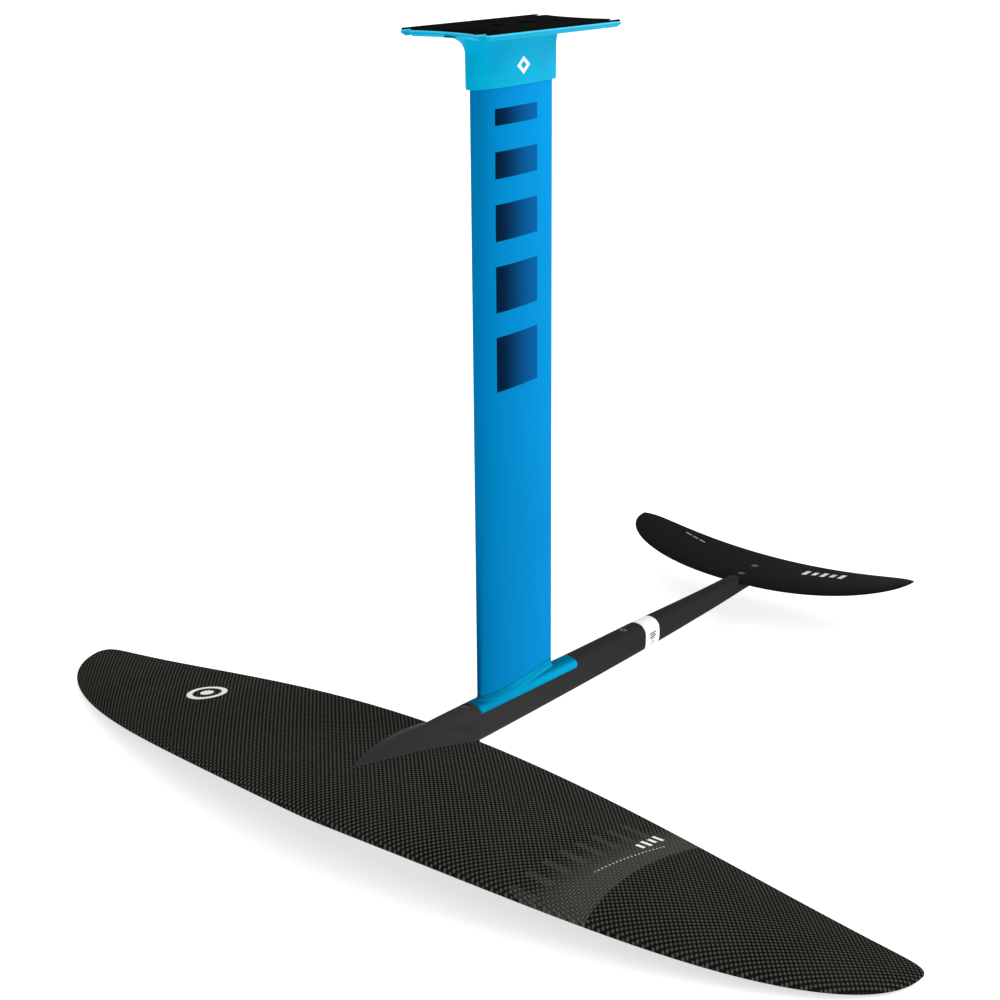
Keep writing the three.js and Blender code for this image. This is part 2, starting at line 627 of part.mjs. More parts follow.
STAB_SCREW_X.forEach((x, i) => {
  place(`stab_screw_${i + 1}`, countersunk(x, 0, STAB_SCREW, false), STEEL);
  place(`stab_insert_${i + 1}`, insert(x, 0, STAB_INSERT.low, STAB_INSERT.high, STAB_SCREW.radius), BRASS);
});

export default root;
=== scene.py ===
"""Looks of a hydrofoil: top plate with grip pad, hollow mast, mast foot, fuselage, carbon front wing, tail
boom and stabiliser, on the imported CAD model.

Shapes are worked out in millimetres and scaled once, when a mesh is made. Origin: on the top plate's board
face, over the mast's mid-chord line. +X points forward, +Y to port, +Z up."""

import functools
import math

import bmesh
import bpy
import numpy as np
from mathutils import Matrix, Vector


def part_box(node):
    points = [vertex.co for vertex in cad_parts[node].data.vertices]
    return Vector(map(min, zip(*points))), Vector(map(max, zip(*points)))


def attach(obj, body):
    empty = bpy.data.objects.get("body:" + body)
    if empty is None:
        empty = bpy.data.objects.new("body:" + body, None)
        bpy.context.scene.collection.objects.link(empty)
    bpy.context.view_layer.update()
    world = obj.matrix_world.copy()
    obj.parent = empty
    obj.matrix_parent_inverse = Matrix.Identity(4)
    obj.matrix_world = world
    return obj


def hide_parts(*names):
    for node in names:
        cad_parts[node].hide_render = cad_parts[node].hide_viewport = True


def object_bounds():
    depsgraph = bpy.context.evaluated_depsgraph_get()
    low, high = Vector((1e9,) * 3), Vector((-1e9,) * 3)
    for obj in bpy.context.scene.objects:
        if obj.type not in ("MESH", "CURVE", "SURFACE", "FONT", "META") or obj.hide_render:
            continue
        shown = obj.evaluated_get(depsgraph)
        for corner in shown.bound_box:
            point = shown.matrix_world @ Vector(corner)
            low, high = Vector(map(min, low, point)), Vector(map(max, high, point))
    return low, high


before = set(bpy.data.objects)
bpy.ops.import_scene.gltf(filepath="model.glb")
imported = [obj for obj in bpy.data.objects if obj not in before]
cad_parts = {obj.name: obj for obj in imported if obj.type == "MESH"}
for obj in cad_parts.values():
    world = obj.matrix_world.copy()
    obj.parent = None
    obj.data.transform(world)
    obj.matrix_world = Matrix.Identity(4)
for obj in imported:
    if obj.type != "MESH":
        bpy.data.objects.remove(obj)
cad_low, cad_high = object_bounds()

MM = 0.001
GAP = 0.3  # clearance between touching pieces
PAST = 5.0  # how far a cutter runs past the face that it opens
EPSILON = 1e-6
SMOOTH_ANGLE = math.radians(32)  # edges sharper than this stay crisp

# ---- Driving dimensions, millimetres ----
PLATE = dict(
    centre=-2.7, length=204.6, width=108, top=-1.5, rim=-4.4, bottom=-7.2,
    corner=4, chamfer=4, recess=7.5, ear=37.5,
)
SLOT = dict(y=45, inner=79.8, radius=4.3)
PAD = dict(thickness=1.2, rim=0.8, hole=8)
COLLAR = dict(
    bottom=-56.5, wall=4, flare_top=-6.4, flare_bottom=-24, front=30, rear=6, side=7, edge=1.2, draft=0.5,
)
HEAD_SCREW = dict(radius=3, head_z=-2, length=53)

MAST = dict(chord=123, thickness=16, top=-10, bottom=-679.7, skin=2.2, edge=1.8)
PORTS = dict(xs=(24, -20), radius=3.3)
CELLS = ((0.06, 0.225), (0.375, 0.59), (0.715, 0.86))

SPAR_TOP = -683
SEAT = dict(front=72, rear=-95, front_drop=9.4, rear_drop=15.9, corner=5, height=20)
TENON = dict(front=62, rear=-78, half_width=9, depth=27)
ROOT_DEPTH = 10  # how deep the tenon's top lies in the saddle
FILLET = dict(side=2.6, rear=1, wall=0.15, depth=14)  # how far it spreads from the mast, and its lowest ring
PRONG_LENGTH = 45
FOOT_SCREW = dict(radius=3, head_z=SPAR_TOP - TENON["depth"] + 0.6, length=74)
MAST_BOLT_RADIUS = 4
REACH = 40  # half width of a cutter that clears the spar on both sides

WING = dict(
    semi_span=545.5, level=-704.7, nose_x=320.7, tail_x=102.7, tip_x=120,
    thickness=0.125, camber=0.03, droop=-91.7, tip_lift=36.5, edge=1.2,
)
BELLY = dict(rear=101.1, front=296.7, level=-705.4)
STAB = dict(
    semi_span=201.5, level=-708, nose_x=-431, tail_x=-534, tip_x=-529,
    thickness=0.068, camber=0, lift=18, edge=0.8,
)
JOINT_X = -239
SLEEVE = dict(front=-225, rear=-253, wall=0.9)
NECK = SLEEVE["wall"] + GAP
SPIGOT = dict(front=-172, half_width=8, top=-700, bottom=-717, root=12)
INSERT_RELIEF = 10  # how far the room under a wing insert runs down
INSERT_WAY_IN = 12  # how far the room above a boom insert runs up
STAB_SEAT = dict(front=-448, top=-711.6)  # the flat on the boom that the stabiliser is screwed to

# Sections along X: [x, half width, top, bottom], heights measured from SPAR_TOP.
SPAR_SECTIONS = (
    (253, 0.8, -2.6, -12), (238, 3, -1.2, -14), (218, 6, -0.2, -16), (190, 9.2, 0.9, -18),
    (160, 12, 1.5, -31), (128, 14, 1.3, -39), (98, 14.9, 0.3, -40.4), (60, 15.2, -1, -41.4),
    (0, 15.2, -3, -42.4), (-60, 15, -5.4, -43.3), (-120, 14.8, -8, -43.9), (-180, 14.5, -10, -44.2),
    (SLEEVE["front"] + GAP, 14.2, -11.5, -44.2),
)
SLEEVE_SECTIONS = ((SLEEVE["front"], 14.2, -11.5, -44.2), (SLEEVE["rear"], 14, -12.7, -44.1))
BOOM_SECTIONS = (
    (SLEEVE["rear"] - GAP, 14, -12.7, -44.1), (-290, 13.7, -14.7, -43.6), (-340, 13.3, -17.2, -42.7),
    (-385, 13, -19.1, -41.6), (-425, 12.7, -20.4, -40.1), (-440, 12.5, -21.3, -39.5),
    (-450, 12.4, -22.6, -39.2), (-490, 11.8, -25, -37.6), (-522, 9, -26, -35.8), (-530, 5, -26.6, -34.2),
)
BELLY_SECTIONS = (
    (BELLY["rear"], 14.6, -40.4), (130, 14.4, -40.2), (170, 13.4, -39.3), (210, 11.2, -37.8),
    (245, 8.2, -35.6), (275, 4.6, -32.5), (BELLY["front"], 1.2, -28.7),
)
# The fairing that the fuselage spreads over the wing's root: [x, half width, ridge].
FAIRING_SECTIONS = (
    (88, 15.6, -18), (96, 28, -15), (104, 37.5, -11), (120, 36, -6), (140, 32.5, -1.5), (165, 28, 1.7),
    (190, 22.5, 1.2), (215, 16.5, 0.2), (235, 10, -0.8), (247, 4.5, -1.3), (254, 1, -2.6),
)
FAIRING = dict(base=-705.7, exponent=1.3)
TOP_EXPONENT = 2.3  # the spar's section is two superellipses that meet at its widest line
BOTTOM_EXPONENT = 4.5
WIDEST = 0.45


# ---- Meshes ----
def add_object(name, points, faces):
    """A mesh object from points in millimetres, with its faces turned outwards."""
    mesh = bpy.data.meshes.new(name)
    mesh.from_pydata([tuple(float(v) * MM for v in p) for p in points], [], faces)
    work = bmesh.new()
    work.from_mesh(mesh)
    bmesh.ops.recalc_face_normals(work, faces=work.faces)
    work.to_mesh(mesh)
    work.free()
    piece = bpy.data.objects.new(name, mesh)
    bpy.context.scene.collection.objects.link(piece)
    return piece


def skin(name, rings, loop=False):
    """A closed skin through rings of equally many points: capped at both ends, or joined end to start."""
    count = len(rings[0])
    faces = []
    for r in range(len(rings) if loop else len(rings) - 1):
        here = r * count
        there = ((r + 1) % len(rings)) * count
        for i in range(count):
            j = (i + 1) % count
            faces.append((here + i, here + j, there + j, there + i))
    if not loop:
        last = (len(rings) - 1) * count
        faces.append(tuple(reversed(range(count))))
        faces.append(tuple(range(last, last + count)))
    return add_object(name, np.concatenate(rings), faces)


def prism(name, outline, low, high):
    """A flat outline in X and Y, as a solid from z = low to z = high."""
    return skin(name, [at_height(outline, low), at_height(outline, high)])


def at_height(outline, z):
    return np.column_stack([outline, np.full(len(outline), z)])


def block(name, low, high):
    """A box between two corners, for cutting."""
    corners = [(low[0], low[1]), (high[0], low[1]), (high[0], high[1]), (low[0], high[1])]
    return prism(name, np.array(corners, float), low[2], high[2])


def circle(x, y, radius, count=48):
    angles = 2 * math.pi * np.arange(count) / count
    return np.column_stack([x + radius * np.cos(angles), y + radius * np.sin(angles)])


def bake(piece):
    """Makes the modifiers' result the piece's own mesh."""
    graph = bpy.context.evaluated_depsgraph_get()
    mesh = bpy.data.meshes.new_from_object(piece.evaluated_get(graph))
    piece.modifiers.clear()
    old = piece.data
    piece.data = mesh
    bpy.data.meshes.remove(old)


def combine(piece, other, operation):
    """Cuts other out of the piece, or joins or intersects the two; other is used up."""
    modifier = piece.modifiers.new(operation, "BOOLEAN")
    modifier.operation = operation
    modifier.solver = "EXACT"
    modifier.object = other
    bake(piece)
    bpy.data.objects.remove(other)
    return piece


def cut(piece, *cutters):
    for cutter in cutters:
        combine(piece, cutter, "DIFFERENCE")
    return piece


def join(piece, *others):
    for other in others:
        combine(piece, other, "UNION")
    return piece


def soften(piece, width, segments=3, angle=50):
    """Rounds the edges that are sharper than the angle."""
    modifier = piece.modifiers.new("soften", "BEVEL")
    modifier.width = width * MM
    modifier.segments = segments
    modifier.limit_method = "ANGLE"
    modifier.angle_limit = math.radians(angle)
    modifier.use_clamp_overlap = True
    bake(piece)
    return piece


def shade(piece):
    """Smooth shading, with the edges sharper than SMOOTH_ANGLE kept crisp."""
    work = bmesh.new()
    work.from_mesh(piece.data)
    bmesh.ops.remove_doubles(work, verts=work.verts, dist=EPSILON)
    for face in work.faces:
        face.smooth = True
    for edge in work.edges:
        edge.smooth = edge.is_manifold and edge.calc_face_angle(0) < SMOOTH_ANGLE
    work.to_mesh(piece.data)
    work.free()
    return piece


def finish_piece(piece, slot, material, *nodes):
    """Shades a piece, gives it its material, and lets it stand for its CAD nodes."""
    shade(piece)
    piece.data.materials.clear()
    piece.data.materials.append(material)
    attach(piece, "root")
    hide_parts(*nodes)
    return piece


def node_box(node):
    """A CAD node's lowest and highest corners and its middle, in millimetres."""
    low, high = (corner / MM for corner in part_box(node))
    return low, high, (low + high) / 2


# ---- Curves and sections ----
def smooth_table(rows, spacing):
    """Rows of [x, ...] resampled along x on smooth curves that never overshoot between two rows."""
    table = np.array(sorted(rows), float)
    x = table[:, 0]
    steps = max(2, round((x[-1] - x[0]) / spacing))
    wanted = np.linspace(x[0], x[-1], steps + 1)
    columns = [wanted]
    gap = np.diff(x)
    for values in table[:, 1:].T:
        slope = np.diff(values) / gap
        tangent = np.concatenate([slope[:1], np.zeros(len(slope) - 1), slope[-1:]])
        same_way = slope[:-1] * slope[1:] > 0
        harmonic = 2 * slope[:-1] * slope[1:] / np.where(same_way, slope[:-1] + slope[1:], 1)
        tangent[1:-1] = np.where(same_way, harmonic, 0)
        k = np.clip(np.searchsorted(x, wanted, side="right") - 1, 0, len(gap) - 1)
        t = (wanted - x[k]) / gap[k]
        start = (1 + 2 * t) * (1 - t) ** 2 * values[k] + t * (1 - t) ** 2 * gap[k] * tangent[k]
        end = t**2 * (3 - 2 * t) * values[k + 1] + t**2 * (t - 1) * gap[k] * tangent[k + 1]
        columns.append(start + end)
    return np.column_stack(columns)


def half_thickness(x):
    """Half thickness of a four-digit foil section of unit chord and unit thickness ratio."""
    return 5 * (0.2969 * np.sqrt(x) - 0.126 * x - 0.3516 * x**2 + 0.2843 * x**3 - 0.1036 * x**4)


def foil_outline(thickness, camber, steps, edge):
    """From the trailing edge over the top to the nose and back underneath: x and height, in chords."""
    x = 0.5 * (1 - np.cos(math.pi * np.arange(steps + 1) / steps))
    mean = 4 * camber * x * (1 - x)
    half = thickness * half_thickness(x) + edge / 2 * x
    top = np.column_stack([x, mean + half])[::-1]
    bottom = np.column_stack([x, mean - half])[1:]
    return np.concatenate([top, bottom])


def mast_outline(side=0.0, front=None, rear=None):
    """The mast's outline in X and Y, pushed out to the sides, past the nose and past the trailing edge."""
    front = side if front is None else front
    rear = side if rear is None else rear
    steps = 44
    section = foil_outline(MAST["thickness"] / MAST["chord"], 0, steps, MAST["edge"] / MAST["chord"])
    points = np.column_stack([MAST["chord"] * (0.5 - section[:, 0]), MAST["chord"] * section[:, 1]])
    along = np.roll(points, -1, axis=0) - np.roll(points, 1, axis=0)
    along /= np.linalg.norm(along, axis=1)[:, None]
    outward = np.column_stack([along[:, 1], -along[:, 0]])
    outward *= np.where(outward[:, 1] * points[:, 1] < 0, -1, 1)[:, None]
    half = math.sqrt(0.5)
    outward[0] = (-half, half)
    outward[-1] = (-half, -half)
    outward[steps] = (1, 0)
    reach = np.where(outward[:, 0] > 0, front, rear)
    return points + np.column_stack([outward[:, 0] * reach, outward[:, 1] * side])


def superellipse(angle, exponent):
    power = 2 / exponent
    across = np.sign(np.cos(angle)) * np.abs(np.cos(angle)) ** power
    return across, np.abs(np.sin(angle)) ** power


def spar_ring(x, half_width, top, bottom, grow=0.0, count=96):
    """One section of the spar: an arched top and a squarer underside."""
    angle = 2 * math.pi * np.arange(count) / count
    upper = np.sin(angle) > -EPSILON
    widest = top + WIDEST * (bottom - top)
    across_top, up = superellipse(angle, TOP_EXPONENT)
    across_low, down = superellipse(angle, BOTTOM_EXPONENT)
    across = np.where(upper, across_top, across_low)
    height = np.where(upper, (top - widest + grow) * up, (bottom - widest - grow) * down)
    return np.column_stack([np.full(count, x), (half_width + grow) * across, SPAR_TOP + widest + height])


def spar_rings(sections, chamfer=0.0):
    """Rings through smoothly joined sections; both ends can have a small chamfer."""
    table = smooth_table(sections, 4)
    rings = [spar_ring(*row) for row in table]
    if chamfer:
        for end, inwards in ((0, 1), (-1, -1)):
            row = table[end].copy()
            edge = spar_ring(*row, grow=-chamfer)
            row[0] += inwards * chamfer
            rings[end] = spar_ring(*row)
            rings.insert(0 if end == 0 else len(rings), edge)
    return rings


def spar_surface(x, y):
    """Height of the spar's arched top at places x, y."""
    table = np.array(sorted(SPAR_SECTIONS), float)
    half_width, top, bottom = (np.interp(x, table[:, 0], table[:, i]) for i in (1, 2, 3))
    widest = top + WIDEST * (bottom - top)
    share = np.clip(1 - np.abs(y / half_width) ** TOP_EXPONENT, 0, 1) ** (1 / TOP_EXPONENT)
    return SPAR_TOP + widest + (top - widest) * share


# ---- Wings ----
def front_wing_station(u):
    """Nose, tail and height of the front wing, u half spans out from the middle."""
    nose = WING["tip_x"] + (WING["nose_x"] - WING["tip_x"]) * (1 - u**1.5) ** 0.48
    tail = WING["tail_x"] + 5 * u**4 + (WING["tip_x"] - WING["tail_x"] - 5) * (1 - (1 - u**60) ** 0.5)
    return nose, tail, WING["level"] + WING["droop"] * u**2 + WING["tip_lift"] * u**4


def wing_top(x, y):
    """Height of the front wing's upper surface at places x, y."""
    nose, tail, level = front_wing_station(np.abs(y) / WING["semi_span"])
    along = np.clip((nose - x) / (nose - tail), 0, 1)
    mean = 4 * WING["camber"] * along * (1 - along)
    chord = nose - tail
    return level + chord * (mean + WING["thickness"] * half_thickness(along)) + WING["edge"] / 2 * along


def stabiliser_station(u):
    nose = STAB["tip_x"] + (STAB["nose_x"] - STAB["tip_x"]) * (1 - u**2.5) ** 0.49
    tail = STAB["tail_x"] - 6 * u**2 + (STAB["tip_x"] - STAB["tail_x"] + 6) * u**16
    return nose, tail, STAB["level"] + STAB["lift"] * u**2


def wing_rings(wing, station, places, steps, grow=0.0):
    """Rings across a wing at places from -1 to 1 of its half span."""
    rings = []
    for place in places:
        nose, tail, z = station(abs(place))
        chord = nose - tail + 2 * grow
        section = foil_outline(wing["thickness"], wing["camber"], steps, wing["edge"] / chord)
        mean = 4 * wing["camber"] * section[:, 0] * (1 - section[:, 0])
        height = z + chord * section[:, 1] + grow * np.sign(section[:, 1] - mean)
        x = nose + grow - chord * section[:, 0]
        rings.append(np.column_stack([x, np.full(len(x), wing["semi_span"] * place), height]))
    return rings


def wing_places(count):
    """Places across a wing, closer together towards the tips."""
    reach = 0.992
    return np.sin(math.pi / 2 * reach * np.arange(-count, count + 1) / count)


# ---- Camera ----
CAMERA = dict(
    place=(1.3661, 1.1061, 0.1454), azimuth=128.09, pitch=18.596, lens=64.94, sensor=36,
    shift=(-0.0411, -0.0311), far=100,
)
def add_camera():
    """The photograph's viewing angle. Angles in degrees, lens and sensor in millimetres, places in metres."""
    azimuth, pitch = math.radians(CAMERA["azimuth"]), math.radians(CAMERA["pitch"])
    back = Vector((
        math.sin(azimuth) * math.cos(pitch), -math.cos(azimuth) * math.cos(pitch), math.sin(pitch),
    ))
    data = bpy.data.cameras.new("camera")
    data.lens = CAMERA["lens"]
    data.sensor_width = CAMERA["sensor"]
    data.shift_x, data.shift_y = CAMERA["shift"]
    data.clip_end = CAMERA["far"]
    camera = bpy.data.objects.new("camera", data)
    camera.location = CAMERA["place"]
    camera.rotation_euler = (-back).to_track_quat("-Z", "Y").to_euler()
    bpy.context.scene.collection.objects.link(camera)
    bpy.context.scene.camera = camera


add_camera()


# ---- Materials ----
class Field:
    """A number that varies over a surface. Arithmetic on it adds Math nodes."""

    def __init__(self, tree, socket):
        self.tree = tree
        self.socket = socket

    def apply(self, operation, *others):
        node = self.tree.nodes.new("ShaderNodeMath")
        node.operation = operation
        for slot, value in zip(node.inputs, (self, *others)):
            if isinstance(value, Field):
                self.tree.links.new(value.socket, slot)
            else:
                slot.default_value = value
        return Field(self.tree, node.outputs[0])

    def __add__(self, other):
        return self.apply("ADD", other)

    def __sub__(self, other):
        return self.apply("SUBTRACT", other)

    def __mul__(self, other):
        return self.apply("MULTIPLY", other)

    def __pow__(self, other):
        return self.apply("POWER", other)

    def __abs__(self):
        return self.apply("ABSOLUTE")

    def sine(self):
        return self.apply("SINE")

    def most(self, other):
        return self.apply("MAXIMUM", other)

    def between(self, low, high, out_low=0.0, out_high=1.0, smooth=True):
        """Goes from out_low to out_high as this number goes from low to high, and stays inside them."""
        node = self.tree.nodes.new("ShaderNodeMapRange")
        node.interpolation_type = "SMOOTHSTEP" if smooth else "LINEAR"
        node.clamp = True
        self.tree.links.new(self.socket, node.inputs["Value"])
        for name, value in zip(("From Min", "From Max", "To Min", "To Max"), (low, high, out_low, out_high)):
            node.inputs[name].default_value = value
        return Field(self.tree, node.outputs["Result"])

    def repeat(self, period):
        """Distance from the nearest whole number of periods."""
        return self.apply("PINGPONG", period / 2)


def any_of(shares):
    """The largest of several shares at each place."""
    return functools.reduce(Field.most, shares)


def linear(red, green, blue):
    """A screen colour from 0 to 255 as the linear colour that shaders take."""
    parts = [c / 255 for c in (red, green, blue)]
    return [c / 12.92 if c <= 0.04045 else ((c + 0.055) / 1.055) ** 2.4 for c in parts] + [1.0]


class Surface:
    """A material made of nodes. x, y and z are places in the row frame, in millimetres."""

    def __init__(self, name, roughness, metallic=0.0, specular=0.5, tint=(255, 255, 255)):
        self.material = bpy.data.materials.new(name)
        self.material.use_nodes = True
        self.tree = self.material.node_tree
        self.shader = self.tree.nodes["Principled BSDF"]
        constants = {
            "Roughness": roughness, "Metallic": metallic, "Specular IOR Level": specular,
            "Specular Tint": linear(*tint),
        }
        for socket, value in constants.items():
            self.shader.inputs[socket].default_value = value
        place = self.tree.nodes.new("ShaderNodeTexCoord").outputs["Object"]
        scaled = self.tree.nodes.new("ShaderNodeVectorMath")
        scaled.operation = "SCALE"
        scaled.inputs["Scale"].default_value = 1 / MM
        self.tree.links.new(place, scaled.inputs[0])
        self.place = scaled.outputs[0]
        parts = self.tree.nodes.new("ShaderNodeSeparateXYZ")
        self.tree.links.new(self.place, parts.inputs[0])
        self.x, self.y, self.z = (Field(self.tree, output) for output in parts.outputs)

    def noise(self, size, stretch=(1, 1, 1), detail=2.0, roughness=0.5):
        """Noise from 0 to 1 with spots of about this size, drawn out along the axes."""
        drawn = self.tree.nodes.new("ShaderNodeVectorMath")
        drawn.operation = "DIVIDE"
        drawn.inputs[1].default_value = [size * s for s in stretch]
        self.tree.links.new(self.place, drawn.inputs[0])
        node = self.tree.nodes.new("ShaderNodeTexNoise")
        node.inputs["Scale"].default_value = 1
        node.inputs["Detail"].default_value = detail
        node.inputs["Roughness"].default_value = roughness
        self.tree.links.new(drawn.outputs[0], node.inputs["Vector"])
        return Field(self.tree, node.outputs["Fac"])

    def mix(self, share, low, high):
        """A colour that goes from low to high as share goes from 0 to 1; each is a colour or another mix."""
        node = self.tree.nodes.new("ShaderNodeMix")
        node.data_type = "RGBA"
        self.tree.links.new(share.socket, node.inputs["Factor"])
        for name, value in (("A", low), ("B", high)):
            slot = next(s for s in node.inputs if s.name == name and s.type == "RGBA")
            if isinstance(value, list):
                slot.default_value = value
            else:
                self.tree.links.new(value, slot)
        return next(s for s in node.outputs if s.type == "RGBA")

    def box(self, a, b, centre, half, soft):
        """1 inside a rectangle in two of the directions, 0 outside it."""
        first = abs(a - centre[0]).between(half[0] - soft, half[0] + soft, 1, 0)
        second = abs(b - centre[1]).between(half[1] - soft, half[1] + soft, 1, 0)
        return first * second

    def ring(self, a, b, centre, radius, half_width, soft):
        """1 on a circle's line, 0 away from it; a radius of 0 makes a dot."""
        away = ((a - centre[0]) ** 2 + (b - centre[1]) ** 2) ** 0.5
        return abs(away - radius).between(half_width - soft, half_width + soft, 1, 0)

    def colour(self, socket):
        self.tree.links.new(socket, self.shader.inputs["Base Color"])

    def gloss(self, roughness):
        self.tree.links.new(roughness.socket, self.shader.inputs["Roughness"])

    def bump(self, height, depth):
        """Raises the surface by up to depth millimetres where height is 1."""
        node = self.tree.nodes.new("ShaderNodeBump")
        node.inputs["Strength"].default_value = 1
        node.inputs["Distance"].default_value = depth * MM
        self.tree.links.new(height.socket, node.inputs["Height"])
        self.tree.links.new(node.outputs["Normal"], self.shader.inputs["Normal"])


TOW = 2.8  # width of one tow of the front wing's woven carbon
# Prints, in millimetres.
STROKES = dict(x=129, y=275, pitch=9.5, count=4, slant=0.3, half_width=2.1, half_length=5)
DOTTED_LINE = dict(x=225, y=273, slope=0.17, pitch=4.6, middle=180, reach=45)
TARGET = dict(centre=(187, -280), radius=19, half_line=3.1, dot=7.5)
BAND = dict(outer=(215, 297), curve=0.0007, inner=(205, 249), slope=0.11, slat_pitch=21, slat_lean=0.12)
MAST_BARS = dict(top=-76, heights=(16, 26, 36, 46, 56), gap=24.75, x=1.5, half_width=34.5)
LOZENGE = dict(x=-4, z=-38, half_width=11, half_height=8.5)
STAB_BARS = dict(x=-507, y=66, pitch=11.5, count=5, lean=0.18, lean_from=89, half_length=8, half_width=2.9)
STAB_DASHES = dict(x=-516.5, y=-97, pitch=13, count=3, lean=0.27, lean_from=-110, half_length=5, half_width=1)
SLEEVE_BARS = dict(z=-708, pitch=2.4, half_lengths=(6.6, 5.04, 6.6, 3.6), half_width=0.75)
SLEEVE_RING = dict(z=-720, radius=1.9, half_line=0.5)


def wing_band(surface):
    """Share of the paler band on the port wing: a curved outer edge, a fading inner one and slats across."""
    x, y = surface.x, surface.y
    outer = (y - BAND["outer"][1]) - ((x - BAND["outer"][0]) ** 2) * BAND["curve"]
    inner = (y - BAND["inner"][1]) + (x - BAND["inner"][0]) * BAND["slope"]
    band = outer.between(-0.8, 0.8, 1, 0) * inner.between(-6, 34, 0, 1)
    slats = (x + (y * BAND["slat_lean"])).repeat(BAND["slat_pitch"]).between(3.4, 4.4, 1, 0)
    ends = inner.between(-16, -12) * inner.between(10, 14, 1, 0)
    sides = abs(x - BAND["inner"][0]).between(84, 86, 1, 0)
    return (band * 0.55 + slats * ends * sides * 0.3).between(0, 1, smooth=False)


def wing_marks(surface):
    """A dotted line and slanted strokes on the port side, and a ring with a dot on the starboard side."""
    x, y = surface.x, surface.y
    line = y - DOTTED_LINE["y"] + (x - DOTTED_LINE["x"]) * DOTTED_LINE["slope"]
    dots = abs(line).between(0.5, 0.9, 1, 0) * x.repeat(DOTTED_LINE["pitch"]).between(0.7, 1, 1, 0)
    reach = DOTTED_LINE["reach"]
    marks = [dots * abs(x - DOTTED_LINE["middle"]).between(reach, reach + 1, 1, 0) * 0.6]
    leaning = x + (y - STROKES["y"]) * STROKES["slant"]
    for i in range(STROKES["count"]):
        centre = (STROKES["x"] + STROKES["pitch"] * i, STROKES["y"])
        half = (STROKES["half_width"], STROKES["half_length"] - 1.2 * (i % 2))
        marks.append(surface.box(leaning, y, centre, half, 0.5))
    marks.append(surface.ring(x, y, TARGET["centre"], TARGET["radius"], TARGET["half_line"], 0.5))
    marks.append(surface.ring(x, y, TARGET["centre"], 0, TARGET["dot"], 0.5))
    return any_of(marks)


def carbon_weave():
    """Plain woven carbon under satin resin, with a paler printed band and plain marks."""
    surface = Surface("carbon_weave", roughness=0.6, specular=0.0)
    across, along = (surface.x * (math.pi / TOW)).sine(), (surface.y * (math.pi / TOW)).sine()
    product = across * along
    over = product.between(-0.16, 0.16)
    crown = abs(product).between(0, 0.55)
    fibre_x = surface.noise(0.22, (22, 1, 1), detail=1)
    fibre_y = surface.noise(0.22, (1, 22, 1), detail=1)
    fibres = fibre_x * over + fibre_y * (over * -1 + 1)
    patch = surface.noise(60, detail=2)
    share = over * crown * 0.86 + fibres * 0.16 + patch * 0.1 - 0.1
    weave = surface.mix(share.between(0, 1, smooth=False), linear(19, 17, 15), linear(80, 78, 73))
    paler = surface.mix(crown, linear(48, 48, 46), linear(92, 92, 87))
    shown = surface.mix(wing_band(surface), weave, paler)
    surface.colour(surface.mix(wing_marks(surface), shown, linear(236, 236, 232)))
    surface.gloss(crown * -0.1 + fibres * 0.1 + 0.5)
    surface.bump(crown * 0.7 + fibres * 0.3, 0.05)
    return surface.material


def with_bars(surface, base):
    """Plain dark bars of growing height on both sides of the mast, with painted shade that darkens their ink
    towards the nose.
    """
    bars = []
    top = MAST_BARS["top"]
    for height in MAST_BARS["heights"]:
        half = (MAST_BARS["half_width"], height / 2)
        bars.append(surface.box(surface.x, surface.z, (MAST_BARS["x"], top - height / 2), half, 0.35))
        top -= height + MAST_BARS["gap"]
    # painted shade: the bars' ink is darker towards the nose
    ink_in_painted_shade = surface.mix(surface.x.between(-36, 34), linear(3, 92, 148), linear(2, 28, 50))
    return surface.mix(any_of(bars), base, ink_in_painted_shade)


def with_painted_fillet_highlight(surface, base):
    """A painted highlight: a lighter tone on the rear of the fillet between saddle and mast."""
    # painted highlight on the rear of the fillet
    fillet = surface.z.between(SPAR_TOP - 5, SPAR_TOP + 1) * surface.x.between(40, 0)
    return surface.mix(fillet * 0.7, base, linear(0, 150, 190))


def anodised(name, low, high, decorate):
    """Blue anodised aluminium with fine lines along the drawing direction, and painted shade that darkens it
    towards the nose.
    """
    surface = Surface(name, roughness=0.46, metallic=0.6, specular=0.02, tint=(0, 130, 190))
    lines = surface.noise(0.7, (1, 1, 260), detail=3)
    cloud = surface.noise(90, (1, 1, 3), detail=2)
    # painted shade: the colour runs from low, darker at the nose, to high, lighter towards the aft side
    share = surface.x.between(55, -55, smooth=False) * 0.8 + lines * 0.12 + cloud * 0.08
    surface.colour(decorate(surface, surface.mix(share, linear(*low), linear(*high))))
    surface.gloss(lines * 0.12 + 0.37)
    surface.bump(lines, 0.01)
    return surface.material


def head_moulding():
    """Cyan moulded composite with a fine grain, a plain lozenge on both sides of the collar and a painted
    highlight just under the plate's top edge.
    """
    surface = Surface("head_moulding", roughness=0.45, specular=0.03, tint=(0, 160, 220))
    x, z = surface.x, surface.z
    grain = surface.noise(0.5, detail=3, roughness=0.6)
    cloud = surface.noise(30, detail=2)
    base = surface.mix(cloud.between(0.3, 0.7) * 0.6 + grain * 0.4, linear(0, 162, 198), linear(3, 175, 216))
    sideways = abs(x - LOZENGE["x"]) * (1 / LOZENGE["half_width"])
    away = sideways + abs(z - LOZENGE["z"]) * (1 / LOZENGE["half_height"])
    lozenge = away.between(0.97, 1.03, 1, 0) * away.between(0.42, 0.48, 0, 1)
    # painted highlight: a lighter band just under the plate's top edge
    rim = surface.mix(z.between(-3.4, -2.4) * 0.6, base, linear(90, 214, 240))
    surface.colour(surface.mix(lozenge, rim, linear(244, 246, 246)))
    surface.gloss(grain * 0.16 + 0.34)
    surface.bump(grain, 0.03)
    return surface.material


